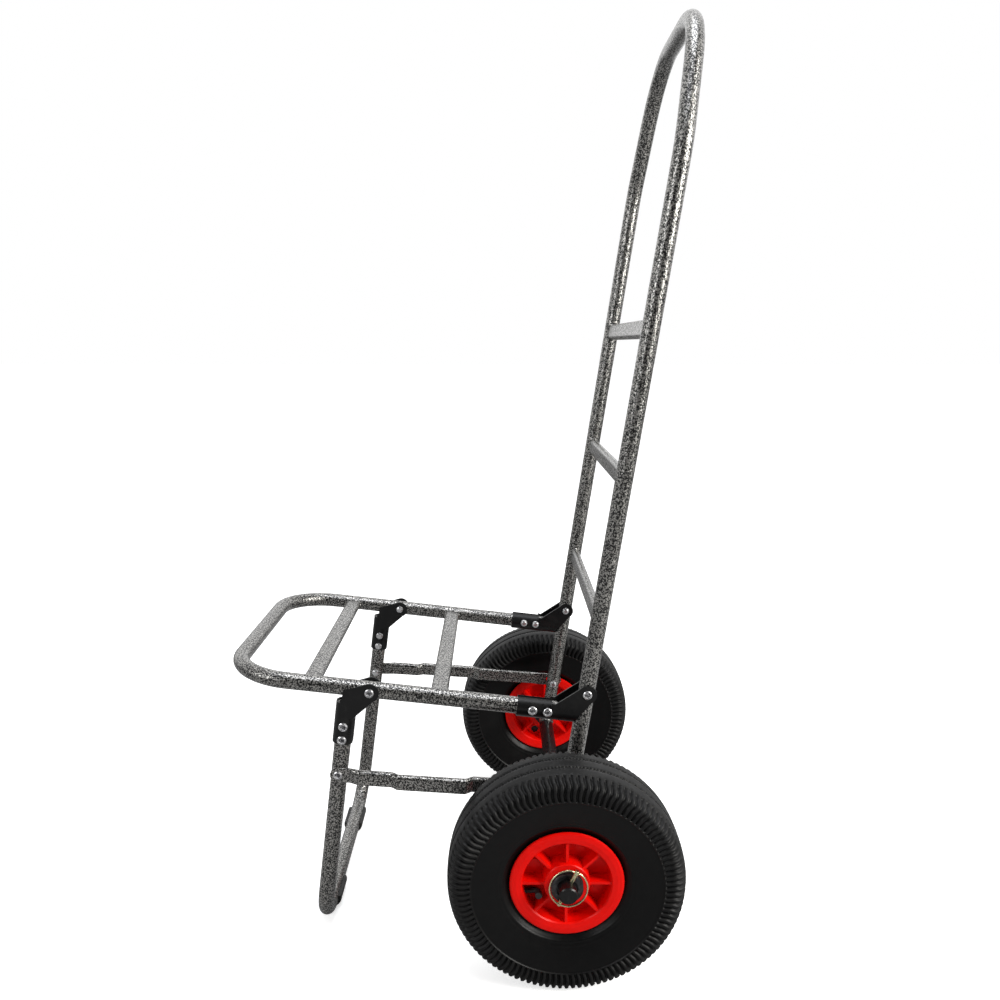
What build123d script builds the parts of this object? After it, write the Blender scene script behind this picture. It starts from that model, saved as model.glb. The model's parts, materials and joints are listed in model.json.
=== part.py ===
from build123d import *
import math
import os

# A folding hand truck (festival or luggage trolley) on two pneumatic wheels.
# Millimetres. +X is the axle direction, -Y is the front with the load platform, +Z is up.
# The truck stands on its wheels and its two foot pads at Z = 0 and is mirrored about X = 0.
# "left" is +X, as seen by a person who stands behind the handle.

# ---- driving dimensions ----
tube_r = 9.5                  # all frame tubes are 19 mm steel tube
tube_wall = 1.2
half_width = 160.0            # centre of the frame's side tubes
lean = 8.0                    # the back frame leans back this far, in degrees
wheel_r = 130.0
wheel_x = 228.5               # centre plane of a wheel
tyre_half = 41.7

handle_height = 897.0         # handle bar above the axle, along the back frame
handle_half = 108.0           # half the width between the handle's corners
taper_height = 761.0          # where the sides start to lean inward
taper_bend = 110.0
handle_bend = 96.0
back_slat_heights = {"lower": 269.0, "middle": 428.0, "upper": 583.0}

platform_pivot_height = 185.0     # platform hinge above the axle
pivot_to_platform = 25.5          # the hinge is this far above the platform tube
platform_droop = 1.4              # platform slopes down from square by this, in degrees
platform_length = 403.0           # hinge to front bar
platform_bend = 67.0
platform_tube_end = 31.0          # the tube stops this far in front of the hinge
platform_slat_reach = {"rear": 165.0, "front": 310.0}

leg_pivot_reach = 242.0           # leg frame hinge on the platform tube, from the platform hinge
leg_pivot_offset = 25.0           # leg tube axis in front of its hinge
link_pivot_drop = 104.0           # link hinge below the leg frame hinge
link_rear_height = 68.0           # rear link rivet above the axle
leg_tube_top = 18.0               # top of the leg tube below its hinge
leg_bend = 48.0

slat_width = 20.0
slat_thick = 10.0
slat_wall = 1.0

sheet = 2.0                   # bracket sheet
ear_gap = 9.8                 # half the gap between a bracket's ears
ear_r = 10.8                  # rounded end of an ear

rivet_r = 3.0
rivet_bore_r = 3.07           # turning fit round a rivet
rivet_ring_r = 5.3

pad_r = 13.0                  # foot pad over the 19 mm tube
pad_x = 88.0
pad_length = 46.0
bar_to_ground = 12.5          # leg frame's bottom bar above the floor

axle_r = 10.0
axle_bore_r = 10.06
axle_half = 278.5
hub_half = 30.0               # half the hub's length over the bush flanges
hub_face = 28.7               # half the hub's length without them
bush_seat = 18.0              # how far from the centre plane a bush starts
bush_r = 17.0
end_play = 0.2
collar_length = 8.0
outer_washer_t = 3.0
outer_washer_bore_r = 12.0    # loose on the axle, so it hangs low

pin_angle = 25.5              # linch pin leans back from upright, in degrees
pin_r = 2.2
pin_head_r = 2.8
pin_hole_r = 2.3
ring_r = 20.4
ring_wire_r = 0.95
ring_tilt = 6.0

os.makedirs("parts", exist_ok=True)
nodes = {}

# ---- places ----
# Design frame: back frame upright, axle at the origin. It is then leaned back and set on the floor.
sin_lean = math.sin(math.radians(lean))
cos_lean = math.cos(math.radians(lean))
front_design = Pos(0, 0, platform_pivot_height) * Rot(platform_droop, 0, 0) * Pos(0, 0, -pivot_to_platform)


def design_point(place, y, z):
    """Y and Z in the design frame of a point given in a sub-frame."""
    moved = (place * Pos(0, y, z)).position
    return moved.Y, moved.Z


def floor_point(y, z):
    """Y and Z of a design point once the truck leans, from the axle's centre."""
    return y * cos_lean + z * sin_lean, -y * sin_lean + z * cos_lean


front_bar_y, front_bar_z = floor_point(*design_point(front_design, -platform_length, 0))
handle_y = floor_point(0, handle_height)[0]
front_edge = front_bar_y - tube_r
rear_edge = max(wheel_r, handle_y + tube_r)
axle_y = -(front_edge + rear_edge) / 2      # the origin is under the middle of the object

stand = Pos(0, axle_y, wheel_r) * Rot(-lean, 0, 0)
platform_place = stand * front_design
leg_pivot_y, leg_pivot_z = design_point(front_design, -leg_pivot_reach, 0)
leg_place = stand * Pos(0, leg_pivot_y - leg_pivot_offset, leg_pivot_z)
link_front_y = leg_pivot_y - leg_pivot_offset
link_front_z = leg_pivot_z - link_pivot_drop
link_length = math.hypot(link_front_y, link_rear_height - link_front_z)
link_rise = math.degrees(math.atan2(link_rear_height - link_front_z, -link_front_y))
link_place = stand * Pos(0, link_front_y, link_front_z) * Rot(link_rise, 0, 0)
# the leg frame's bottom bar lies bar_to_ground above the floor
bar_z = (bar_to_ground - wheel_r + link_front_y * sin_lean) / cos_lean - leg_pivot_z


def world(place, x, y, z):
    """Row-frame position of a point in a sub-frame, as a list."""
    moved = (place * Pos(x, y, z)).position
    return [moved.X, moved.Y, moved.Z]


pivots = {
    "platform_fold": world(stand, 0, 0, platform_pivot_height),
    "leg_fold": world(leg_place, 0, leg_pivot_offset, 0),
    "link_front": world(leg_place, 0, 0, -link_pivot_drop),
    "link_rear": world(stand, 0, 0, link_rear_height),
    "axle": [0, axle_y, wheel_r],
}


def save(name, shape):
    nodes[name] = shape
    export_step(shape, f"parts/{name}.step")


def save_pair(name, shape, place=None):
    """Write a +X part as left and its mirror image as right."""
    placed = shape if place is None else place * shape
    save(f"{name}_left", placed)
    save(f"{name}_right", mirror(placed, about=Plane.YZ))


# ---- simple solids ----
def rod_x(r, x0, x1, y=0.0, z=0.0):
    """Round bar along X from x0 to x1."""
    return Pos(x0, y, z) * Rot(0, 90, 0) * Cylinder(r, x1 - x0, align=(Align.CENTER, Align.CENTER, Align.MIN))


def block(x0, x1, y0, y1, z0, z1):
    size = Box(x1 - x0, y1 - y0, z1 - z0, align=(Align.MIN, Align.MIN, Align.MIN))
    return Pos(x0, y0, z0) * size


def bent_tube(points, bends, r=tube_r, wall=tube_wall):
    """Round tube along straight runs with a bend at each inner point."""
    path = FilletPolyline(*points, radius=bends)
    start = Plane(origin=path @ 0, z_dir=path % 0)
    section = Circle(r) - Circle(r - wall) if wall else Circle(r)
    return sweep(start * section, path=path)


def turned(profile):
    """Solid of revolution about X from points given as (x, radius)."""
    outline = make_face(Polyline(*[(x, r) for x, r in profile], close=True))
    return revolve(outline, axis=Axis.X)


def side_plate(outline, x0, x1):
    """Flat plate from a face drawn as (y, z), between x0 and x1."""
    return extrude(Plane(origin=(x0, 0, 0), x_dir=(0, 1, 0), z_dir=(1, 0, 0)) * outline, x1 - x0)


def rivet(x_in, x_out, y, z):
    """Semi-tubular rivet along X: round head at x_in, rolled hollow ring at x_out."""
    head = turned([(x_in - 2.0, 0), (x_in - 2.0, 2.6), (x_in - 1.2, 4.4), (x_in, 5.0), (x_in, rivet_r),
                   (x_out, rivet_r), (x_out, rivet_ring_r), (x_out + 0.9, rivet_ring_r - 0.2),
                   (x_out + 1.5, rivet_ring_r - 1.1), (x_out + 1.2, rivet_ring_r - 1.9),
                   (x_out - 0.4, 2.5), (x_out - 4.5, 2.3), (x_out - 4.5, 0)])
    return Pos(0, y, z) * head


# ---- back frame ----
def make_back_frame():
    bore_x = half_width + tube_r + 1
    corners = [(half_width, 0, 0), (half_width, 0, taper_height), (handle_half, 0, handle_height),
               (-handle_half, 0, handle_height), (-half_width, 0, taper_height), (-half_width, 0, 0)]
    frame = bent_tube(corners, [taper_bend, handle_bend, handle_bend, taper_bend])
    frame -= rod_x(axle_r, -axle_half, axle_half)
    frame -= rod_x(rivet_bore_r, -bore_x, bore_x, 0, platform_pivot_height)
    frame -= rod_x(rivet_r, -bore_x, bore_x, 0, link_rear_height)
    save("back_frame_tube", stand * frame)
    legs = Part() + [Pos(x, 0, 0) * Cylinder(tube_r, 2 * taper_height) for x in (half_width, -half_width)]
    for name, height in back_slat_heights.items():
        slat = Pos(0, 0, height) * flat_tube(slat_thick, slat_width)
        save(f"back_slat_{name}", stand * (slat - legs))


def flat_tube(depth_y, height_z):
    """Flattened tube across the frame between the side tubes' centres."""
    flat = Plane.YZ * slot_section(depth_y, height_z)
    hollow = Plane.YZ * slot_section(depth_y - 2 * slat_wall, height_z - 2 * slat_wall)
    bar = extrude(flat, half_width, both=True)
    return bar - extrude(hollow, half_width, both=True)


def slot_section(depth_y, height_z):
    """Rounded flat section with fully round short sides."""
    return RectangleRounded(depth_y, height_z, min(depth_y, height_z) / 2 - 0.05)


# ---- axle, collars, washers, linch pins ----
def make_axle():
    collar_x = wheel_x - hub_half - end_play
    pin_x = wheel_x + hub_half + end_play + outer_washer_t + 0.4 + pin_r
    lean_back = Rot(-pin_angle, 0, 0)
    axle = rod_x(axle_r, -axle_half, axle_half)
    axle = chamfer(axle.edges(), 1.2)
    for x in (pin_x, -pin_x):
        axle -= Pos(x, 0, 0) * lean_back * Cylinder(pin_hole_r, 4 * axle_r)
    level = Pos(0, axle_y, wheel_r)
    save("axle", level * axle)

    collar = rod_x(15.0, collar_x - 2.0 - collar_length, collar_x - 2.0) - rod_x(axle_r, 0, axle_half)
    collar = chamfer(collar.edges().filter_by(GeomType.CIRCLE).sort_by(SortBy.RADIUS)[-2:], 0.8)
    inner_washer = rod_x(16.0, collar_x - 2.0, collar_x) - rod_x(axle_bore_r, 0, axle_half)
    outer_x = wheel_x + hub_half + end_play
    hang = outer_washer_bore_r - axle_bore_r
    outer_washer = rod_x(17.5, outer_x, outer_x + outer_washer_t, 0, -hang)
    outer_washer = chamfer(outer_washer.edges().filter_by(GeomType.CIRCLE), 0.5)
    outer_washer -= rod_x(outer_washer_bore_r, 0, axle_half, 0, -hang)
    save_pair("axle_collar", collar, level)
    save_pair("inner_washer", inner_washer, level)
    save_pair("outer_washer", outer_washer, level)

    # linch pin: shank through the axle, head above, and a wire ring hinged in the head
    hinge_z = 21.5
    shank = Pos(0, 0, -22.5) * Cylinder(pin_r, 42.0, align=(Align.CENTER, Align.CENTER, Align.MIN))
    shank = chamfer(shank.edges().sort_by(Axis.Z)[0], 1.0)
    head = Pos(0, 0, 18.8) * Cylinder(pin_head_r, 5.6, align=(Align.CENTER, Align.CENTER, Align.MIN))
    head = fillet(head.edges(), 0.8)
    across = Pos(0, 0, hinge_z) * Rot(90, 0, 0) * Cylinder(ring_wire_r + 0.08, 20)
    pin_place = level * Pos(pin_x, 0, 0) * lean_back
    save_pair("linch_pin", shank + head - across, pin_place)

    save_pair("linch_ring", Pos(0, 0, hinge_z) * Rot(0, -ring_tilt, 0) * wire_ring(), pin_place)
    pivots["ring"] = world(pin_place, 0, 0, hinge_z)
    along = (pin_place * Pos(0, 1, 0)).position - (pin_place * Pos(0, 0, 0)).position
    pivots["ring_axis"] = [along.X, along.Y, along.Z]


def wire_ring():
    """Wire hoop below the origin whose two ends point at each other along Y."""
    gap = 1.0
    stub = 4.6
    bend = 8.0
    turn = math.asin(stub / (ring_r - bend))
    middle = -bend - (ring_r - bend) * math.cos(turn)

    def on_bend(angle, side):
        return (0, side * (stub + bend * math.sin(angle)), -bend + bend * math.cos(angle))

    hoop = ThreePointArc(on_bend(turn, 1), (0, 0, middle - ring_r), on_bend(turn, -1))
    right = ThreePointArc((0, stub, 0), on_bend(turn / 2, 1), on_bend(turn, 1))
    left = ThreePointArc(on_bend(turn, -1), on_bend(turn / 2, -1), (0, -stub, 0))
    path = Wire([Line((0, gap, 0), (0, stub, 0)), right, hoop, left, Line((0, -stub, 0), (0, -gap, 0))])
    return sweep(Plane(origin=(0, gap, 0), z_dir=(0, 1, 0)) * Circle(ring_wire_r), path=path)


# ---- platform ----
def make_platform():
    bore_x = half_width + tube_r + 1
    corners = [(half_width, -platform_tube_end, 0), (half_width, -platform_length, 0),
               (-half_width, -platform_length, 0), (-half_width, -platform_tube_end, 0)]
    frame = bent_tube(corners, [platform_bend, platform_bend])
    for y in rear_rivet_ys:
        frame -= rod_x(rivet_r, -bore_x, bore_x, y, 0)
    frame -= rod_x(rivet_bore_r, -bore_x, bore_x, -leg_pivot_reach, 0)
    save("platform_tube", platform_place * frame)
    sides = Part() + [Pos(x, 0, 0) * Rot(90, 0, 0) * Cylinder(tube_r, 2 * platform_length)
                      for x in (half_width, -half_width)]
    for name, reach in platform_slat_reach.items():
        slat = Pos(0, -reach, 0) * flat_tube(slat_width, slat_thick)
        save(f"platform_slat_{name}", platform_place * (slat - sides))


rear_rivet_ys = (-58.5, -41.5)
sleeve_r = ear_gap + sheet


def rear_bracket():
    """Pressed bracket that wraps the platform tube's end and hinges on the back frame's leg."""
    sleeve_start = -76.0
    sleeve_end = -37.0
    pivot = (0.0, pivot_to_platform)
    # closed sleeve with a slit along its top
    ring = Circle(sleeve_r) - Circle(tube_r) - Pos(0, 12) * Rectangle(5.0, 10.0)
    sleeve = extrude(Plane.XZ * ring, -(sleeve_end - sleeve_start))
    sleeve = Pos(0, sleeve_start, 0) * sleeve
    sleeve -= [rod_x(rivet_r, -30, 30, y, 0) for y in rear_rivet_ys]
    # channel: half-round bottom and two upright walls
    walls = Circle(sleeve_r) + Pos(0, 25) * Rectangle(2 * sleeve_r, 50)
    walls -= Circle(ear_gap) + Pos(0, 25) * Rectangle(2 * ear_gap, 50)
    channel = Pos(0, 15, 0) * extrude(Plane.XZ * walls, 60)
    outline = make_face(Polyline((sleeve_end - 1, -sleeve_r - 1), (-10.6, -sleeve_r - 1), (-10.6, -8.0),
                                 (10.5, pivot[1] - 2.6), (0, pivot[1]), (-4.2, pivot[1] + 9.9),
                                 (-34.0, 10.2), (sleeve_end - 1, 11.0), close=True))
    outline += Pos(*pivot) * Circle(ear_r)
    body = channel & side_plate(outline, -30, 30)
    body -= rod_x(rivet_r, -30, 30, *pivot)
    return body + sleeve


def make_rear_brackets():
    save_pair("rear_bracket", Pos(half_width, 0, 0) * rear_bracket(), platform_place)
    near = [rivet(half_width - sleeve_r, half_width + sleeve_r, y, 0) for y in rear_rivet_ys]
    save_pair("rear_bracket_rivets", Part() + near, platform_place)
    pivot = rivet(half_width - sleeve_r, half_width + sleeve_r, 0, pivot_to_platform)
    save_pair("platform_pivot_rivet", pivot, platform_place)


# ---- leg frame ----
front_rivet_zs = (-44.5, -61.0)


def front_bracket():
    """Pressed bracket that wraps the leg tube's top and hinges on the platform's side tube."""
    sleeve_bottom = -66.5
    sleeve_top = -33.0
    web_top = -17.0
    pivot = (leg_pivot_offset, 0.0)
    ring = Circle(sleeve_r) - Circle(tube_r) - Pos(0, 12) * Rectangle(5.0, 10.0)
    sleeve = Pos(0, 0, sleeve_bottom) * extrude(ring, sleeve_top - sleeve_bottom)
    sleeve -= [rod_x(rivet_r, -30, 30, 0, z) for z in front_rivet_zs]
    walls = Circle(sleeve_r) + Pos(0, 25) * Rectangle(2 * sleeve_r, 50)
    walls -= Circle(ear_gap) + Pos(0, 25) * Rectangle(2 * ear_gap, 50)
    channel = Pos(0, 0, sleeve_top - 1) * extrude(walls, 50)
    outline = make_face(Polyline((-15, sleeve_top - 1), (-15, web_top), (-9.6, web_top), (-4.6, -12),
                                 (-4.6, -1.5), (pivot[0] - 4.5, 9.8), pivot, (pivot[0] + 9.8, -4.5),
                                 (sleeve_r, -30.5), (6.4, -36.0), (0, -36.0), close=True))
    outline += Pos(*pivot) * Circle(ear_r)
    body = channel & side_plate(outline, -30, 30)
    body -= block(-ear_gap, ear_gap, -30, 40, web_top, 20)
    body -= rod_x(rivet_r, -30, 30, *pivot)
    return body + sleeve


def make_leg_frame():
    bore_x = half_width + tube_r + 1
    corners = [(half_width, 0, -leg_tube_top), (half_width, 0, bar_z),
               (-half_width, 0, bar_z), (-half_width, 0, -leg_tube_top)]
    frame = bent_tube(corners, [leg_bend, leg_bend])
    for z in front_rivet_zs + (-link_pivot_drop,):
        frame -= rod_x(rivet_r, -bore_x, bore_x, 0, z)
    save("leg_frame_tube", leg_place * frame)
    save_pair("front_bracket", Pos(half_width, 0, 0) * front_bracket(), leg_place)
    near = [rivet(half_width - sleeve_r, half_width + sleeve_r, 0, z) for z in front_rivet_zs]
    save_pair("front_bracket_rivets", Part() + near, leg_place)
    pivot = rivet(half_width - sleeve_r, half_width + sleeve_r, leg_pivot_offset, 0)
    save_pair("leg_pivot_rivet", pivot, leg_place)
    front = rivet(half_width - tube_r, link_pad_x + link_pad_t + 0.2, 0, -link_pivot_drop)
    save_pair("link_rivet_front", front, leg_place)

    # rubber saddle under the bottom bar, flat where it meets the floor
    pad = rod_x(pad_r, pad_x - pad_length / 2, pad_x + pad_length / 2)
    pad = fillet(pad.edges(), 2.5)
    pad -= rod_x(tube_r, 0, half_width)
    pad -= block(0, half_width, -pad_r - 1, pad_r + 1, 3.5, pad_r + 1)
    placed = leg_place * Pos(0, 0, bar_z) * Rot(lean, 0, 0) * pad
    placed -= block(0, half_width, -400, 400, -20, 0)
    save_pair("foot_pad", placed)


# ---- links ----
link_pad_x = half_width + tube_r + 0.5
link_pad_t = 3.2
slot_half = 8.9               # the rear hole is a slot: half its length,
slot_r = 4.05                 # half its width,
slot_shift = (-0.94, 0.63)    # and its middle from the rivet, along and across the link


def link_section(y, x_in, thick, height):
    """Rounded section of a link at distance y from its front rivet."""
    shape = RectangleRounded(thick, height, thick * 0.48)
    return Plane(origin=(x_in + thick / 2, y, 0), x_dir=(1, 0, 0), z_dir=(0, -1, 0)) * shape


def make_links():
    """Tube with flattened ends, set outward in the middle to pass the rear bracket when folded."""
    end_r = 9.0
    mid_x = half_width + sleeve_r + 3.9
    # distance along the link, inner face, thickness, height
    stations = [(0, link_pad_x, link_pad_t, 18.0), (13, link_pad_x, link_pad_t, 18.0),
                (25, link_pad_x, 10.5, 18.0), (62, link_pad_x, 10.5, 18.0),
                (69, mid_x, 9.6, 18.5), (146, mid_x, 9.6, 18.5),
                (154, link_pad_x, 8.0, 18.5), (link_length - 32, link_pad_x, 8.0, 18.5),
                (link_length - 20, link_pad_x, link_pad_t, 18.5), (link_length, link_pad_x, link_pad_t, 18.5)]
    shape = loft([link_section(*station) for station in stations], ruled=True)
    shape += rod_x(end_r, link_pad_x, link_pad_x + link_pad_t)
    shape += rod_x(end_r + 0.25, link_pad_x, link_pad_x + link_pad_t, link_length + 4.0)
    shape += block(link_pad_x, link_pad_x + link_pad_t, link_length - 1, link_length + 4.0, -9.25, 9.25)
    shape -= rod_x(rivet_bore_r, half_width, wheel_x)
    slot = extrude(Plane.YZ * SlotOverall(2 * slot_half, 2 * slot_r), wheel_x)
    shape -= Pos(0, link_length + slot_shift[0], slot_shift[1]) * slot
    save_pair("link", shape, link_place)
    rear = rivet(half_width - tube_r, link_pad_x + link_pad_t + 0.2, 0, link_rear_height)
    save_pair("link_rivet_rear", rear, stand)


# ---- wheels ----
bead_r = 51.0
bead_x = 23.9
bead_inner_x = 17.5
# half profiles as (distance from the centre plane, radius), bead to crown
tyre_outer = [(bead_x, 61.8), (26.2, 64.0), (29.6, 68.5), (32.5, 76.0), (35.8, 86.0), (38.4, 96.0),
              (40.7, 106.0), (tyre_half, 115.0), (39.6, 121.8), (34.5, 126.2), (24.0, 129.0), (0.0, wheel_r)]
tyre_inner = [(bead_inner_x, bead_r), (18.5, 57.0), (21.5, 63.5), (26.0, 71.0), (29.5, 79.5), (33.0, 89.0),
              (35.8, 99.0), (37.0, 108.5), (34.5, 116.0), (27.0, 121.0), (14.0, 123.2), (0.0, 123.6)]
tube_outer = [(14.6, 53.6), (17.0, 58.5), (20.4, 64.5), (25.1, 71.8), (28.7, 80.0), (32.2, 89.3),
              (35.0, 99.2), (36.2, 108.3), (33.8, 115.3), (26.7, 120.2), (13.9, 122.4), (0.0, 122.8)]
tube_inner = [(12.6, 54.6), (15.1, 59.5), (18.8, 66.0), (23.3, 72.8), (26.9, 80.9), (30.3, 90.0),
              (33.1, 99.6), (34.2, 107.9), (32.2, 114.0), (25.9, 118.3), (13.7, 120.4), (0.0, 120.8)]
rib_count = 8
rib_t = 3.0
rib_top = 25.5
bolt_circle = 38.0
bolt_angles = (67.5, 157.5, 247.5, 337.5)
bolt_r = 3.0
bolt_flats = 9.8
bolt_head_t = 4.0
bolt_reach = 8.0              # the bolts end this deep in the outer rim half's blind bosses
bolt_seat = 6.0               # their heads sit this far inside the centre plane,
bolt_well_r = 5.9             # each in a round well
boss_top = 12.5
blind_boss_r = 6.0
blind_boss_top = 10.5
valve_angle = 208.0
valve_radius = 34.0           # the cap's distance from the axle
valve_r = 3.0
valve_thread_r = 2.6
valve_cap_r = 4.0
valve_cap_span = (19.0, 25.5)


def mirrored(points):
    """Half profile completed to both sides of the wheel's centre plane."""
    return points + [(-x, r) for x, r in reversed(points[:-1])]


def make_tyre():
    """Tyre casing and the inner tube in it, both turned about the axle."""
    outer = Spline(*mirrored(tyre_outer))
    inner = Spline(*reversed(mirrored(tyre_inner)))
    foot = Polyline(tyre_outer[0], (bead_x, bead_r), tyre_inner[0])
    tyre = revolve(make_face([outer, inner, foot, mirror(foot, about=Plane.YZ)]), axis=Axis.X)
    return tyre, bag(tube_outer, 51.6) - bag(tube_inner, 53.2)


def bag(points, base_r):
    """Solid of revolution under a curved half profile with a flat base."""
    base = Polyline((-points[0][0] + 1, base_r), (points[0][0] - 1, base_r))
    side = Line((points[0][0] - 1, base_r), points[0])
    curve = Spline(*mirrored(points))
    return revolve(make_face([curve, base, side, mirror(side, about=Plane.YZ)]), axis=Axis.X)


def rim_half(outer):
    """Ribbed plastic rim half: the outer one has blind bosses and the inner one takes the bolt heads."""
    profile = [(0.0, 13.2), (0.0, 25.0), (5.0, 25.0), (5.0, 47.5), (0.0, 47.5), (0.0, 50.9), (24.0, 50.9),
               (24.0, 60.6), (24.9, 61.7), (26.2, 62.0), (27.3, 61.3), (27.8, 59.5), (28.0, 55.0),
               (27.4, 49.4), (26.0, 48.2), (9.0, 47.2), (9.0, 25.6), (hub_face - 0.8, 24.7), (hub_face, 23.9),
               (hub_face, bush_r), (bush_seat, bush_r), (bush_seat, 13.2)]
    half = turned(profile)
    rib = block(8.0, rib_top, -rib_t / 2, rib_t / 2, 23.0, 48.5)
    for i in range(rib_count):
        half += Rot(360.0 / rib_count * i, 0, 0) * rib
    for angle in bolt_angles:
        boss = Rot(angle, 0, 0) * Pos(0, bolt_circle, 0)
        if outer:
            half += boss * rod_x(blind_boss_r, 0, blind_boss_top)
            half -= boss * rod_x(bolt_r, -1, bolt_reach + 0.5)
        else:
            half += boss * rod_x(7.5, 0, boss_top)
            half -= boss * rod_x(bolt_r + 0.2, -1, bolt_seat)
            half -= boss * rod_x(bolt_well_r, bolt_seat, boss_top)
    return half if outer else mirror(half, about=Plane.YZ)


def polar(x, r, angle):
    """Point at a radius and an angle about the wheel's axis, counted from +Y towards +Z."""
    return (x, r * math.cos(math.radians(angle)), r * math.sin(math.radians(angle)))


def make_wheel():
    place = Pos(wheel_x, axle_y, wheel_r)
    tyre, tube = make_tyre()
    # valve: up through the rim, bent outward, with a screw cap
    start = polar(13.2, 50.2, 200)
    corner = polar(13.2, valve_radius, valve_angle)
    end = polar(18.6, valve_radius, valve_angle)
    cap_base, cap_top = valve_cap_span
    thread = rod_x(valve_thread_r, end[0] - 0.6, cap_top - 3.0, end[1], end[2])
    stem = bent_tube([start, corner, end], [4.0], r=valve_r, wall=0) + thread
    hole_line = Polyline(tuple(2 * a - b for a, b in zip(start, corner)), corner)
    hole = sweep(Plane(origin=hole_line @ 0, z_dir=hole_line % 0) * Circle(valve_r + 0.6), path=hole_line)
    cap = rod_x(valve_cap_r, cap_base, cap_top, end[1], end[2])
    cap = fillet(cap.edges().sort_by(Axis.X)[-1], 1.2)
    cap -= thread
    rim_outer = rim_half(True) - hole
    save_pair("tyre", tyre, place)
    save_pair("inner_tube", tube, place)
    save_pair("rim_outer", rim_outer, place)
    save_pair("rim_inner", rim_half(False), place)
    save_pair("valve_stem", stem, place)
    save_pair("valve_cap", cap, place)

    # flanged nylon bushes pressed into the hub ends
    flange_r = bush_r + 0.5
    bush = turned([(bush_seat, axle_bore_r), (bush_seat, bush_r), (hub_face, bush_r), (hub_face, flange_r),
                   (hub_half, flange_r), (hub_half, axle_bore_r)])
    save_pair("hub_bush_outer", bush, place)
    save_pair("hub_bush_inner", mirror(bush, about=Plane.YZ), place)

    bolts = []
    for angle in bolt_angles:
        spot = Rot(angle, 0, 0) * Pos(0, bolt_circle, 0)
        hexagon = Plane.YZ * RegularPolygon(bolt_flats / 2, 6, major_radius=False)
        head = Pos(-bolt_seat - bolt_head_t, 0, 0) * extrude(hexagon, bolt_head_t)
        bolts.append(spot * (head + rod_x(bolt_r, -bolt_seat - 0.5, bolt_reach)))
    save_pair("rim_bolts", Part() + bolts, place)


make_back_frame()
make_axle()
make_platform()
make_rear_brackets()
make_leg_frame()
make_links()
make_wheel()
print(len(nodes), "nodes")
for name, place in pivots.items():
    print(name, [round(value, 3) for value in place])
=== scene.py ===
import json
import math
import random
import bpy
from mathutils import Matrix, Vector, noise


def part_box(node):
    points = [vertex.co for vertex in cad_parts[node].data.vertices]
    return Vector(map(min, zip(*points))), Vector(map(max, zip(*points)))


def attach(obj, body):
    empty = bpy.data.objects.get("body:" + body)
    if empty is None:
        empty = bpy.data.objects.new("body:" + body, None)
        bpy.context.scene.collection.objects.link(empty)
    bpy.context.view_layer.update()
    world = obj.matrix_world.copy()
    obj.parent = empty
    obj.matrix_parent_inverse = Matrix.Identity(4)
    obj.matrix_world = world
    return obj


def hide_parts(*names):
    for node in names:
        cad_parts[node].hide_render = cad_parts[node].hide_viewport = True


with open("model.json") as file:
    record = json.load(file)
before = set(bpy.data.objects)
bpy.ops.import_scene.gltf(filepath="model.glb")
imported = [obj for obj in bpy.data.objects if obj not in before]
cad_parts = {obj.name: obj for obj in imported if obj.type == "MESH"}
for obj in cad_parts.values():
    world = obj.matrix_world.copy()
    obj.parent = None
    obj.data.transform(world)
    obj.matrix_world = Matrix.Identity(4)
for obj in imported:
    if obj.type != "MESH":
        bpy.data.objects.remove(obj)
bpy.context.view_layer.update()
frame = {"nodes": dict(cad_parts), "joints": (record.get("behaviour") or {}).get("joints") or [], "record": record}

# Looks for a folding hand truck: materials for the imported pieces, treaded tyres, weld beads,
# floor, light and camera. Metres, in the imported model's frame.

MM = 0.001
joints = {joint["name"]: joint for joint in frame["joints"]}
axle = Vector(joints["wheel_spin_left"]["pos_m"])
lean = math.radians(8.0)
SIDES = {"left": 1, "right": -1}

# sizes in millimetres that the weld beads need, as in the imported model
TUBE_R = 9.5
TUBE_HALF_SPACING = 160.0
AXLE_R = 10.0
SLAT_WIDTH, SLAT_THICK = 20.0, 10.0
PLATFORM_SLOPE = math.radians(6.6)


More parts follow.
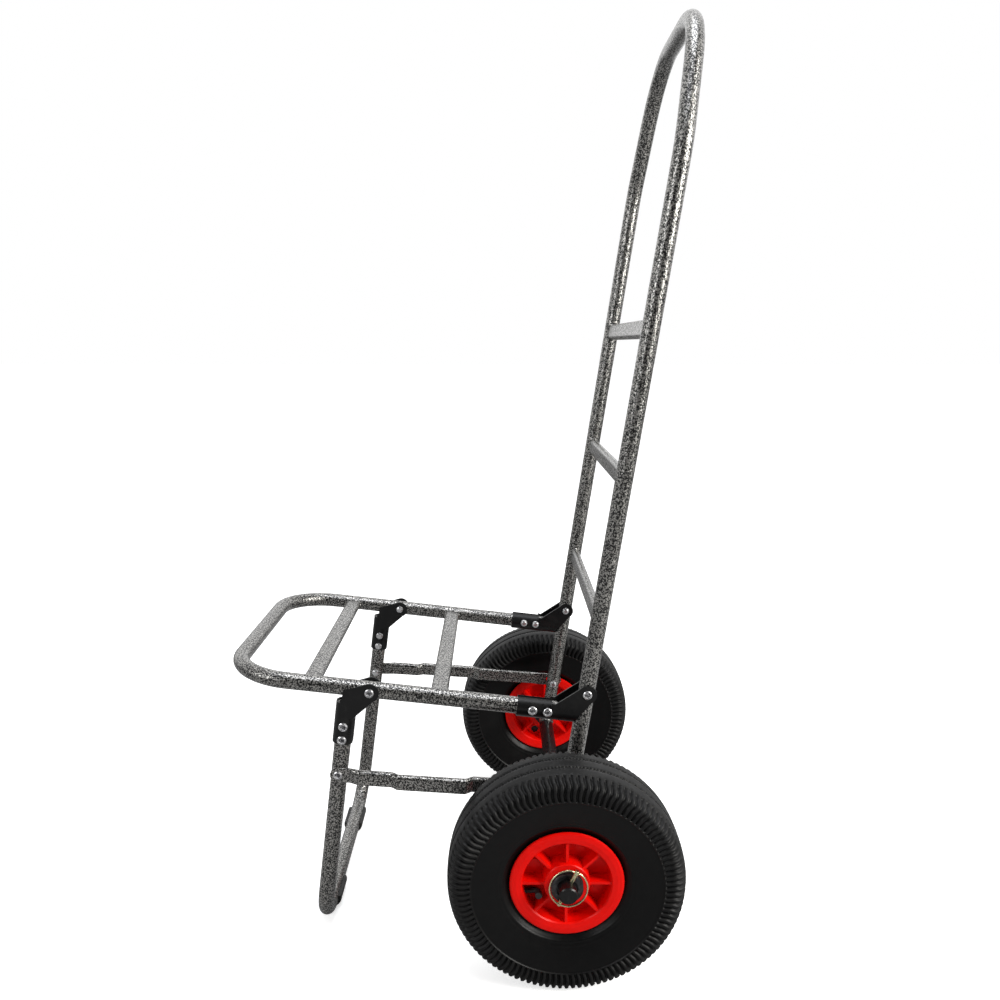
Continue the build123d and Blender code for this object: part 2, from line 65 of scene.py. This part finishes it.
# ---- node helpers ----
class Nodes:
    """A material's node tree with short calls for the nodes used here."""

    def __init__(self, name):
        self.material = bpy.data.materials.new(name)
        self.material.use_nodes = True
        self.tree = self.material.node_tree
        self.shader = self.tree.nodes["Principled BSDF"]
        self.where = self.add("ShaderNodeTexCoord").outputs["Object"]

    def add(self, kind, **settings):
        node = self.tree.nodes.new(kind)
        for key, value in settings.items():
            setattr(node, key, value)
        return node

    def link(self, source, target):
        self.tree.links.new(source, target)

    def fill(self, socket, value):
        if isinstance(value, bpy.types.NodeSocket):
            self.link(value, socket)
        else:
            socket.default_value = value

    def noise(self, scale, detail=2.0, rough=0.5, distort=0.0):
        node = self.add("ShaderNodeTexNoise")
        self.link(self.where, node.inputs["Vector"])
        node.inputs["Scale"].default_value = scale
        node.inputs["Detail"].default_value = detail
        node.inputs["Roughness"].default_value = rough
        node.inputs["Distortion"].default_value = distort
        return node.outputs["Fac"]

    def math(self, operation, a, b):
        node = self.add("ShaderNodeMath", operation=operation)
        self.fill(node.inputs[0], a)
        self.fill(node.inputs[1], b)
        return node.outputs[0]

    def span(self, fac, low, high, to_low=0.0, to_high=1.0):
        node = self.add("ShaderNodeMapRange")
        node.inputs["From Min"].default_value = low
        node.inputs["From Max"].default_value = high
        node.inputs["To Min"].default_value = to_low
        node.inputs["To Max"].default_value = to_high
        self.link(fac, node.inputs["Value"])
        return node.outputs["Result"]

    def mix(self, fac, a, b):
        node = self.add("ShaderNodeMix", data_type="RGBA")
        self.fill(node.inputs["Factor"], fac)
        for socket, value in ((node.inputs[6], a), (node.inputs[7], b)):
            self.fill(socket, value if isinstance(value, bpy.types.NodeSocket) else (*value, 1.0))
        return node.outputs[2]

    def bump(self, height, distance, strength):
        node = self.add("ShaderNodeBump")
        node.inputs["Distance"].default_value = distance
        node.inputs["Strength"].default_value = strength
        self.link(height, node.inputs["Height"])
        self.link(node.outputs["Normal"], self.shader.inputs["Normal"])
        return node.outputs["Normal"]

    def set(self, **values):
        for key, value in values.items():
            self.fill(self.shader.inputs[key.replace("_", " ")], value)


def grey(value, warm=0.0):
    return (value * (1 + warm), value, value * (1 - warm))


# ---- materials ----
def hammertone():
    """Hammered enamel: a leafing silver that runs into black cells under a glossy binder."""
    m = Nodes("hammertone_paint")
    blotch = m.noise(600, 1.0, 0.5, 0.5)
    fine = m.noise(1400, 1.0, 0.5, 0.3)
    mixed = m.math("ADD", m.math("MULTIPLY", blotch, 0.8), m.math("MULTIPLY", fine, 0.2))
    flake = m.span(mixed, 0.505, 0.54)
    tone = m.noise(60, 2.0)
    silver = m.mix(tone, (0.36, 0.352, 0.335), (0.52, 0.51, 0.485))
    m.set(Base_Color=m.mix(flake, (0.002, 0.002, 0.0022), silver))
    m.set(Metallic=m.span(flake, 0.0, 1.0, 0.1, 0.95), Roughness=m.span(flake, 0.0, 1.0, 0.36, 0.30))
    m.set(Coat_Weight=0.8, Coat_Roughness=0.08, Specular_IOR_Level=0.2)
    m.link(m.bump(mixed, 0.8 * MM, 0.6), m.shader.inputs["Coat Normal"])
    return m.material


def satin_black():
    """Black paint over pressed steel with a fine orange peel and a little dust."""
    m = Nodes("black_paint")
    peel = m.noise(900, 2.0)
    dust = m.span(m.noise(70, 5.0, 0.65), 0.5, 0.85)
    m.set(Base_Color=m.mix(dust, (0.004, 0.004, 0.0043), (0.012, 0.0117, 0.0114)))
    m.set(Roughness=m.span(m.noise(160, 4.0), 0.3, 0.7, 0.26, 0.38), Specular_IOR_Level=0.3)
    m.bump(peel, 0.12 * MM, 0.5)
    return m.material


def zinc(name, bright, dull, rough):
    """Plated steel: clouded colour, fine scratches and slightly uneven shine."""
    m = Nodes(name)
    cloud = m.noise(210, 4.0, 0.6, 0.6)
    m.set(Base_Color=m.mix(m.span(cloud, 0.35, 0.65), dull, bright), Metallic=1.0)
    m.set(Roughness=m.span(m.noise(520, 4.0), 0.3, 0.7, rough, rough + 0.16))
    m.bump(m.noise(1500, 3.0), 0.08 * MM, 0.4)
    return m.material


def red_plastic():
    """Glossy injection-moulded red with faint flow marks and shine that varies a little."""
    m = Nodes("red_plastic")
    flow = m.noise(45, 3.0, 0.5, 1.2)
    m.set(Base_Color=m.mix(m.span(flow, 0.35, 0.65), (0.82, 0.004, 0.0015), (0.75, 0.003, 0.001)))
    m.set(Roughness=m.span(m.noise(90, 3.0), 0.3, 0.7, 0.30, 0.36), Specular_IOR_Level=0.16)
    m.bump(m.noise(160, 2.0), 0.05 * MM, 0.3)
    return m.material


def tyre_rubber():
    """Moulded rubber: black sidewalls, tread that is a little greyer where it is worn, and painted shade that
    darkens the grooves and the gaps between the lugs.
    """
    m = Nodes("tyre_rubber")
    tread = m.add("ShaderNodeAttribute", attribute_name="tread").outputs["Fac"]
    dust = m.span(m.noise(95, 6.0, 0.7), 0.42, 0.8)
    side = m.mix(dust, (0.0012, 0.0012, 0.0013), (0.003, 0.003, 0.003))
    worn = m.mix(dust, (0.005, 0.005, 0.0052), (0.012, 0.0117, 0.0115))
    # The tread mask blends towards the sidewall black in the lug gaps and grooves, which is painted shade; the
    # greyer colour on the lug tops is wear.
    m.set(Base_Color=m.mix(tread, side, worn))
    shine = m.span(m.noise(120, 4.0), 0.3, 0.7, 0.34, 0.44)
    m.set(Roughness=m.math("ADD", shine, m.math("MULTIPLY", tread, 0.08)), Specular_IOR_Level=0.2)
    m.bump(m.noise(1300, 3.0), 0.08 * MM, 0.3)
    return m.material


def plain_rubber(name, value, rough):
    m = Nodes(name)
    dust = m.span(m.noise(140, 5.0, 0.65), 0.4, 0.8)
    m.set(Base_Color=m.mix(dust, grey(value), grey(value * 2.4, 0.02)))
    m.set(Roughness=m.span(m.noise(260, 3.0), 0.3, 0.7, rough, rough + 0.15))
    m.bump(m.noise(1100, 3.0), 0.15 * MM, 0.5)
    return m.material


materials = {
    "hammertone_paint": hammertone(),
    "black_paint": satin_black(),
    "bright_zinc": zinc("bright_zinc", (0.80, 0.80, 0.81), (0.62, 0.62, 0.64), 0.22),
    "dark_steel": zinc("dark_steel", (0.10, 0.10, 0.102), (0.05, 0.05, 0.052), 0.30),
    "yellow_zinc": zinc("yellow_zinc", (0.80, 0.70, 0.42), (0.60, 0.66, 0.42), 0.20),
    "red_plastic": red_plastic(),
    "tyre_rubber": tyre_rubber(),
    "black_rubber": plain_rubber("black_rubber", 0.012, 0.5),
    "black_nylon": plain_rubber("black_nylon", 0.018, 0.38),
}
slot_of = {part["node"]: part["material_slot"] for part in frame["record"]["subparts"]}
for name, node in frame["nodes"].items():
    node.data.materials.clear()
    node.data.materials.append(materials[slot_of[name]])


# ---- mesh helpers ----
def make_mesh(name, points, faces, slot):
    mesh = bpy.data.meshes.new(name)
    mesh.from_pydata([tuple(p) for p in points], [], faces)
    mesh.shade_smooth()
    mesh.materials.append(materials[slot])
    piece = bpy.data.objects.new(name, mesh)
    bpy.context.scene.collection.objects.link(piece)
    return piece


def grid_faces(rows, columns, close_rows=False, close_columns=True):
    """Quads over a grid of points stored row by row."""
    faces = []
    for i in range(rows if close_rows else rows - 1):
        for j in range(columns if close_columns else columns - 1):
            a, b = i * columns + j, i * columns + (j + 1) % columns
            c, d = ((i + 1) % rows) * columns + (j + 1) % columns, ((i + 1) % rows) * columns + j
            faces.append((a, b, c, d))
    return faces


# ---- tyres ----
LUGS = 108
LUG_STEPS = (0.0, 0.08, 0.27, 0.46, 0.54, 0.66, 0.77, 0.88)
LUG_TOP = (0.85, 1.0, 1.0, 0.85, 0.12, 0.0, 0.0, 0.12)
LUG_START, LUG_END = 25.0, 59.0
# half profile as (distance from the centre plane, radius), crown to bead
CASING = (
    (0.0, 129.9), (10.0, 129.75), (18.0, 129.35), (24.0, 128.75), (30.0, 127.4),
    (34.3, 125.9), (37.5, 123.8), (39.7, 121.1), (41.0, 118.0), (41.4, 114.5),
    (41.1, 110.5), (40.0, 104.0), (38.3, 97.0), (36.1, 89.0), (33.8, 81.5),
    (31.9, 75.8), (30.3, 71.5), (28.9, 68.5), (27.2, 66.4), (25.4, 64.2),
    (24.2, 62.2), (23.7, 59.0), (23.7, 54.0),
)
CURVE_STEPS = 24
GROOVE_CENTRE, GROOVE_DEPTH, GROOVE_SWING = 9.8, 3.6, 1.1
# groove section as (distance from its middle, share of the depth)
GROOVE = ((-2.6, 0.0), (-2.0, 0.1), (-1.4, 1.0), (1.4, 1.0), (2.0, 0.1), (2.6, 0.0))
LUG_DEPTH = 2.9
LUG_ROWS = 18
LUG_EDGE_SWING = 0.6
# curl of each lug along its length, in lug spacings, and its rate per millimetre
LUG_CURL, LUG_CURL_RATE = 0.10, 0.3
# rows past the lugs' ends as (distance, depth, lug share, tread share)
LUG_TAIL = ((0.3, 0.1, 0.6, 0.9), (0.7, 0.0, 0.0, 0.9), (1.2, 0.1, 0.0, 0.6), (1.8, 1.1, 0.0, 0.0))
SIDEWALL_DEPTH, SIDEWALL_STEP = 1.1, 1.5
# moulded rings as (radius, half width, height)
SIDEWALL_RINGS = ((70.0, 1.0, 0.9), (74.5, 0.8, 0.3))


def casing_curve():
    """Finely stepped points of the casing profile and the length along it to each of them."""
    points = [Vector((x, r)) for x, r in CASING]
    fine = []
    for i in range(len(points) - 1):
        before, after = points[max(i - 1, 0)], points[min(i + 2, len(points) - 1)]
        if i == 0:
            before = Vector((-points[1].x, points[1].y))
        for step in range(CURVE_STEPS):
            t = step / CURVE_STEPS
            a, b = points[i], points[i + 1]
            square = 2 * before - 5 * a + 4 * b - after
            cube = 3 * a - before - 3 * b + after
            fine.append(0.5 * (2 * a + (b - before) * t + square * t * t + cube * t ** 3))
    fine.append(points[-1])
    lengths = [0.0]
    for a, b in zip(fine, fine[1:]):
        lengths.append(lengths[-1] + (b - a).length)
    return fine, lengths


FINE, LENGTHS = casing_curve()


def on_casing(s):
    """Point and outward normal of the casing at a distance s from the crown's centre line."""
    s = max(0.0, min(s, LENGTHS[-1] - 1e-6))
    low, high = 0, len(LENGTHS) - 1
    while high - low > 1:
        middle = (low + high) // 2
        if LENGTHS[middle] <= s:
            low = middle
        else:
            high = middle
    a, b = FINE[low], FINE[high]
    point = a.lerp(b, (s - LENGTHS[low]) / (LENGTHS[high] - LENGTHS[low]))
    way = (b - a).normalized()
    return point, Vector((-way.y, way.x))


def tread_rows():
    """Rows from the crown's centre to the bead: (distance, zig-zag, depth, lug share, tread share)."""
    rows = [(0.0, 0.0, 0.0, 0.0, 1.0), (4.0, 0.0, 0.0, 0.0, 1.0)]
    for offset, share in GROOVE:
        rows.append((GROOVE_CENTRE + offset, GROOVE_SWING, GROOVE_DEPTH * share, 0.0, 1.0))
    rows += [(16.0, 0.0, 0.0, 0.0, 1.0), (21.0, 0.0, 0.0, 0.0, 1.0)]
    rows.append((LUG_START - 0.8, LUG_EDGE_SWING, 0.0, 0.0, 1.0))
    rows.append((LUG_START, LUG_EDGE_SWING, 0.0, 0.25, 1.0))
    for i in range(LUG_ROWS):
        along = LUG_START + 1.0 + (LUG_END - LUG_START - 1.0) * i / (LUG_ROWS - 1)
        rows.append((along, 0.0, 0.0, 1.0, 1.0))
    for offset, depth, lug, worn in LUG_TAIL:
        rows.append((LUG_END + offset, 0.0, depth, lug, worn))
    s = LUG_END + 3.0
    while s < LENGTHS[-1]:
        rows.append((s, 0.0, SIDEWALL_DEPTH, 0.0, 0.0))
        s += SIDEWALL_STEP
    rows.append((LENGTHS[-1], 0.0, SIDEWALL_DEPTH, 0.0, 0.0))
    return rows


def sidewall_relief(radius):
    """Height of the moulded rings on the sidewall: one by the rim and a lower one above it."""
    relief = 0.0
    for at, half, height in SIDEWALL_RINGS:
        relief += height * max(0.0, 1 - abs(radius - at) / half)
    return relief


def tyre(side):
    centre = Vector((SIDES[side] * axle.x, axle.y, axle.z))
    half_rows = tread_rows()
    rows = [(-1, *row) for row in reversed(half_rows[1:])] + [(1, *row) for row in half_rows]
    columns = LUGS * len(LUG_STEPS)
    points, tread = [], []
    for hand, s, swing, depth, lug, worn in rows:
        for j in range(columns):
            lug_index, step = divmod(j, len(LUG_STEPS))
            f = LUG_STEPS[step]
            zig = swing * (1 - 4 * abs(((2 * f + 0.25) % 1.0) - 0.5))
            point, normal = on_casing(s + zig)
            top = LUG_TOP[step]
            cut = depth + lug * (1 - top) * LUG_DEPTH
            if worn == 0.0:
                cut -= sidewall_relief(point.y)
            curl = LUG_CURL * lug * math.sin((s - LUG_START) * LUG_CURL_RATE)
            stagger = 0.5 if hand < 0 else 0.0
            angle = 2 * math.pi * (lug_index + f + curl + stagger) / LUGS
            x, r = point - normal * cut
            points.append(centre + MM * Vector((hand * x, r * math.cos(angle), r * math.sin(angle))))
            # Colour mask for the tread: full on the lug tops, which are greyer from wear. The gaps between the
            # lugs are painted darker as shade, and the centre grooves darker still with painted groove shade.
            top_wear_and_gap_shade = 0.25 + 0.75 * (top if lug else 1.0)
            groove_shade = 0.3 if depth > 1.0 else 1.0
            tread.append(worn * top_wear_and_gap_shade * groove_shade)
    piece = make_mesh(f"treaded_tyre_{side}", points, grid_faces(len(rows), columns), "tyre_rubber")
    layer = piece.data.attributes.new("tread", "FLOAT", "POINT")
    layer.data.foreach_set("value", tread)
    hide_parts(f"tyre_{side}")
    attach(piece, f"wheel_{side}")


for side in SIDES:
    tyre(side)


# ---- weld beads ----
BEAD_RING, BEAD_STEPS = 10, 60
SLAT_BEAD_R, LEG_BEAD_R = 1.3, 1.7


def bead(name, path, radius, body, seed):
    """Rippled fillet weld along a closed path."""
    rng = random.Random(seed)
    phase = rng.random() * 10
    count = len(path)
    points = []
    for i, centre in enumerate(path):
        along = (path[(i + 1) % count] - path[i - 1]).normalized()
        across = along.cross(Vector((0.31, 0.52, 0.79))).normalized()
        other = along.cross(across)
        lumps = noise.noise(centre * 300 + Vector((phase,) * 3))
        ripple = 1 + 0.10 * math.sin(i * 2.1 + phase) + 0.16 * lumps
        for j in range(BEAD_RING):
            a = 2 * math.pi * j / BEAD_RING
            points.append(centre + (across * math.cos(a) + other * math.sin(a)) * radius * ripple)
    piece = make_mesh(name, points, grid_faces(count, BEAD_RING, close_rows=True), "hammertone_paint")
    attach(piece, body)


def flat_oval(width, thick, count):
    """Outline of a flattened tube's section, longest way first."""
    straight, r = width - thick, thick / 2
    total = 2 * straight + 2 * math.pi * r
    outline = []
    for i in range(count):
        d = total * i / count
        if d < straight:
            outline.append((d - straight / 2, r))
        elif d < straight + math.pi * r:
            a = (d - straight) / r
            outline.append((straight / 2 + r * math.sin(a), r * math.cos(a)))
        elif d < 2 * straight + math.pi * r:
            outline.append((straight / 2 - (d - straight - math.pi * r), -r))
        else:
            a = (d - 2 * straight - math.pi * r) / r
            outline.append((-straight / 2 - r * math.sin(a), -r * math.cos(a)))
    return outline


def slat_welds(slat, body, slope):
    """Beads where a flattened slat meets the two side tubes; slope is the slat's long side from level."""
    low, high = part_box(slat)
    middle = (low + high) / 2
    for side, sign in SIDES.items():
        path = []
        for u, v in flat_oval(SLAT_WIDTH, SLAT_THICK, BEAD_STEPS):
            y = u * math.cos(slope) - v * math.sin(slope)
            z = u * math.sin(slope) + v * math.cos(slope)
            x = TUBE_HALF_SPACING - math.sqrt(TUBE_R ** 2 - v ** 2) - 0.4
            path.append(Vector((sign * x * MM, middle.y + y * MM, middle.z + z * MM)))
        bead(f"weld_{slat}_{side}", path, SLAT_BEAD_R * MM, body, len(slat) + sign)


for slat in ("back_slat_upper", "back_slat_middle", "back_slat_lower"):
    slat_welds(slat, "back_frame", math.pi / 2 - lean)
for slat in ("platform_slat_front", "platform_slat_rear"):
    slat_welds(slat, "platform", -PLATFORM_SLOPE)


def leg_weld(side, sign):
    """Bead round the foot of a back frame leg where it sits on the axle."""
    saddle = []
    for i in range(BEAD_STEPS):
        a = 2 * math.pi * i / BEAD_STEPS
        y = TUBE_R * math.sin(a)
        w = math.sqrt(AXLE_R ** 2 - y ** 2) + 0.3
        x = sign * TUBE_HALF_SPACING + TUBE_R * math.cos(a)
        back = (y * math.cos(lean) + w * math.sin(lean)) * MM
        rise = (w * math.cos(lean) - y * math.sin(lean)) * MM
        saddle.append(Vector((x * MM, axle.y + back, axle.z + rise)))
    bead(f"weld_leg_{side}", saddle, LEG_BEAD_R * MM, "back_frame", 7 + sign)


for side, sign in SIDES.items():
    leg_weld(side, sign)


# ---- floor and light ----
def stage_material():
    """White sweep for the camera, and a duller one in reflections and bounced light."""
    m = Nodes("studio_floor")
    direct = m.add("ShaderNodeLightPath").outputs["Is Camera Ray"]
    m.set(Base_Color=m.mix(direct, (0.30, 0.30, 0.30), (0.88, 0.88, 0.88)), Roughness=0.8)
    m.set(Specular_IOR_Level=0.0, Emission_Color=(1.0, 1.0, 1.0, 1.0))
    m.set(Emission_Strength=m.math("MULTIPLY", direct, 0.62))
    return m.material


bpy.ops.mesh.primitive_plane_add(size=60.0, location=(0, 0, 0))
floor = bpy.context.object
floor.name = "studio_floor"
floor.data.materials.append(stage_material())

world = bpy.data.worlds.new("studio")
bpy.context.scene.world = world
world.use_nodes = True


def surround():
    """White studio that is brighter behind the object and overhead than on the camera's side."""
    tree = world.node_tree
    background = tree.nodes["Background"]
    background.inputs["Color"].default_value = (1.0, 1.0, 1.0, 1.0)
    where = tree.nodes.new("ShaderNodeTexCoord")
    parts = tree.nodes.new("ShaderNodeSeparateXYZ")
    ramp = tree.nodes.new("ShaderNodeMapRange")
    ramp.inputs["From Min"].default_value = -0.3
    ramp.inputs["From Max"].default_value = 0.45
    ramp.inputs["To Min"].default_value = 1.0
    ramp.inputs["To Max"].default_value = 0.06
    path = tree.nodes.new("ShaderNodeLightPath")
    mix = tree.nodes.new("ShaderNodeMix")
    mix.inputs["B"].default_value = 1.0
    tree.links.new(where.outputs["Generated"], parts.inputs["Vector"])
    tree.links.new(parts.outputs["X"], ramp.inputs["Value"])
    tree.links.new(path.outputs["Is Camera Ray"], mix.inputs["Factor"])
    tree.links.new(ramp.outputs["Result"], mix.inputs["A"])
    tree.links.new(mix.outputs["Result"], background.inputs["Strength"])


surround()


def area_light(name, place, target, size, power, colour=(1.0, 1.0, 1.0)):
    data = bpy.data.lights.new(name, "AREA")
    data.shape = "RECTANGLE"
    data.size, data.size_y = size
    data.energy = power
    data.color = colour
    light = bpy.data.objects.new(name, data)
    light.location = place
    light.rotation_euler = (Vector(target) - Vector(place)).to_track_quat("-Z", "Y").to_euler()
    bpy.context.scene.collection.objects.link(light)


area_light("key", (1.5, 2.4, 1.7), (0, 0, 0.4), (0.9, 1.8), 110, (1.0, 0.98, 0.94))
area_light("fill", (2.0, -2.2, 1.7), (0, 0, 0.3), (1.2, 1.2), 28)
area_light("top", (0.2, 0, 3.0), (0, 0, 0), (1.2, 1.8), 36, (0.93, 0.95, 1.0))


# ---- camera ----
SENSOR_WIDTH = 36.0
FOCAL_SHARE = 0.8802  # focal length as a share of the sensor's width
camera_data = bpy.data.cameras.new("camera")
camera = bpy.data.objects.new("camera", camera_data)
bpy.context.scene.collection.objects.link(camera)
camera_data.sensor_width = SENSOR_WIDTH
camera_data.lens = FOCAL_SHARE * SENSOR_WIDTH
camera_data.shift_y = 0.075
camera_data.clip_start = 0.05
camera_data.clip_end = 100.0
yaw, pitch, roll = math.radians(0.23), math.radians(14.7), math.radians(0.04)
flat = math.cos(pitch)
forward = Vector((-math.cos(yaw) * flat, math.sin(yaw) * flat, -math.sin(pitch)))
level = Vector((math.sin(yaw), math.cos(yaw), 0.0))
upright = level.cross(forward)
right = math.cos(roll) * level + math.sin(roll) * upright
up = -math.sin(roll) * level + math.cos(roll) * upright
turn = Matrix((right, up, -forward)).transposed().to_4x4()
place = Vector((1.0869, axle.y - 0.0756, 0.6921))
camera.matrix_world = Matrix.Translation(place) @ turn
bpy.context.scene.camera = camera
bpy.context.scene.view_settings.view_transform = "Standard"
